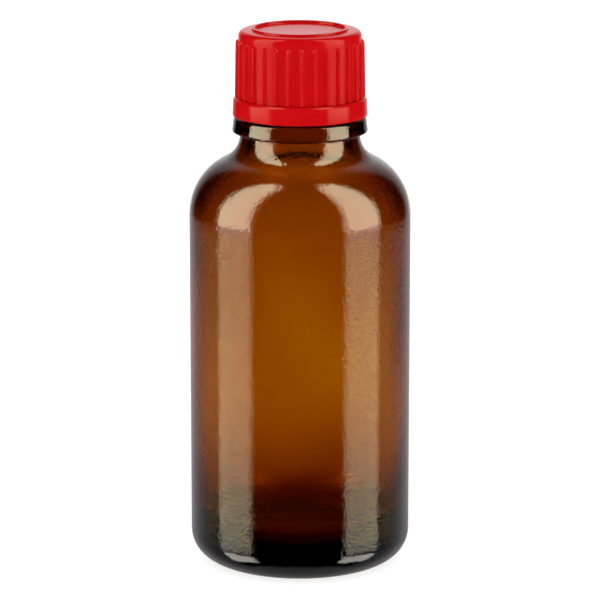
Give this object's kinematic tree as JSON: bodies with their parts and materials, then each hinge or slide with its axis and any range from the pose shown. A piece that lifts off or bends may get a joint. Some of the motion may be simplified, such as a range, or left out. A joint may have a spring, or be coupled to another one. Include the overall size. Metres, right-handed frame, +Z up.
{
  "type": "dropper bottle",
  "caption": "Small amber glass medicine bottle with a round shoulder and base, a dropper insert in its neck, and a ribbed red screw cap above a separate tamper band.",
  "frame": {"origin": "centre of the standing plane under the base", "axes": "+Z up along the bottle's axis towards the cap; +X to the right and -Y towards the viewer, though the bottle itself is round"},
  "size_m": [0.035, 0.035, 0.086],
  "materials": {
    "amber_glass": "clear amber moulded glass, glossy with a faint ripple",
    "natural_polyethylene": "natural translucent low-density polyethylene, satin",
    "white_foam": "white closed-cell polyethylene foam, matte",
    "red_polypropylene": "glossy red moulded polypropylene"
  },
  "bodies": {
    "bottle": {"glass_bottle": "amber_glass", "dropper_insert": "natural_polyethylene"},
    "seal": {"sealing_disc": "white_foam"},
    "cap": {"screw_cap": "red_polypropylene"},
    "band": {"tamper_band": "red_polypropylene"}
  },
  "joints": [
    {"name": "cap_lift", "type": "slide", "parent": "bottle", "child": "seal", "axis": [0, 0, 1], "range_m": [0, 0.0105]},
    {"name": "cap_turn", "type": "hinge", "parent": "seal", "child": "cap", "pos_m": [0, 0, 0.08], "axis": [0, 0, 1], "range_deg": [0, 1261]},
    {"name": "band_turn", "type": "hinge", "parent": "bottle", "child": "band", "pos_m": [0, 0, 0.0735], "axis": [0, 0, 1], "continuous": true}
  ],
  "couplings": [
    {"joint": "cap_turn", "follows": "cap_lift", "rad_per_m": 2094.4}
  ]
}
